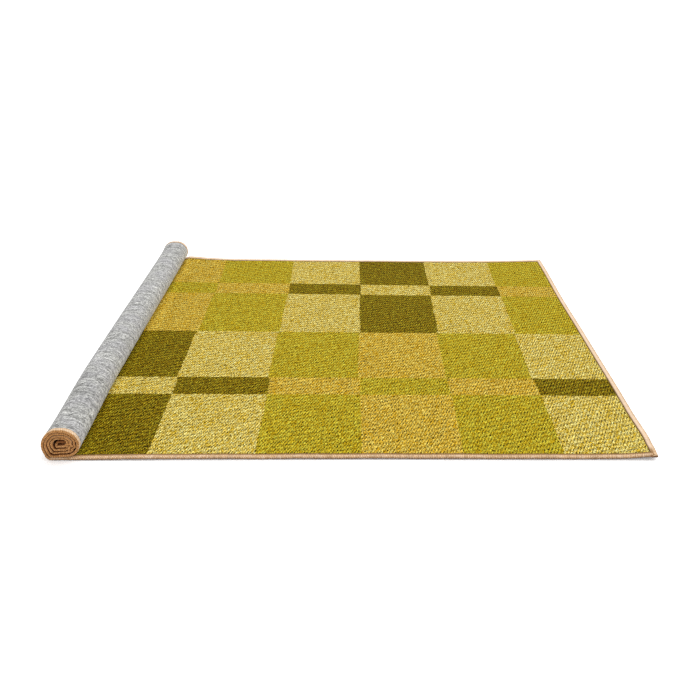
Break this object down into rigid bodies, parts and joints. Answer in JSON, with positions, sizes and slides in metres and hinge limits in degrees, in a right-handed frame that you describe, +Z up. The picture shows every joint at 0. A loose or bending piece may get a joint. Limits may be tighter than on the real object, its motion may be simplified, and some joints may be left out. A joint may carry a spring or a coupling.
{
  "type": "area rug",
  "caption": "Flat-woven checked area rug with an overlocked yarn edge, laid flat with one end rolled up to show its backing.",
  "frame": {"origin": "middle of the rug's footprint on the floor, taken over its whole bounding box with the roll included", "axes": "+X along the rug's length from the rolled end to the open end, +Y across its width from the near edge to the far edge, +Z up out of the floor"},
  "size_m": [1.0166, 0.914, 0.058],
  "materials": {
    "face_cloth": "coarse woven yarn in mustard, green-gold, dark olive and pale straw checks",
    "bonding_film": "thin flexible adhesive film",
    "backing_cloth": "light grey heathered weave",
    "binding_yarn": "peach-tan twisted polyester yarn, soft sheen",
    "needle_thread": "brown spun sewing thread"
  },
  "bodies": {
    "root": {"woven_face": "face_cloth", "bonding_film": "bonding_film", "woven_backing": "backing_cloth", "edge_binding_near": "binding_yarn", "edge_binding_far": "binding_yarn", "edge_binding_open_end": "binding_yarn", "edge_binding_hidden_end": "binding_yarn", "needle_thread_near": "needle_thread", "needle_thread_far": "needle_thread", "needle_thread_open_end": "needle_thread", "needle_thread_hidden_end": "needle_thread"}
  },
  "joints": []
}
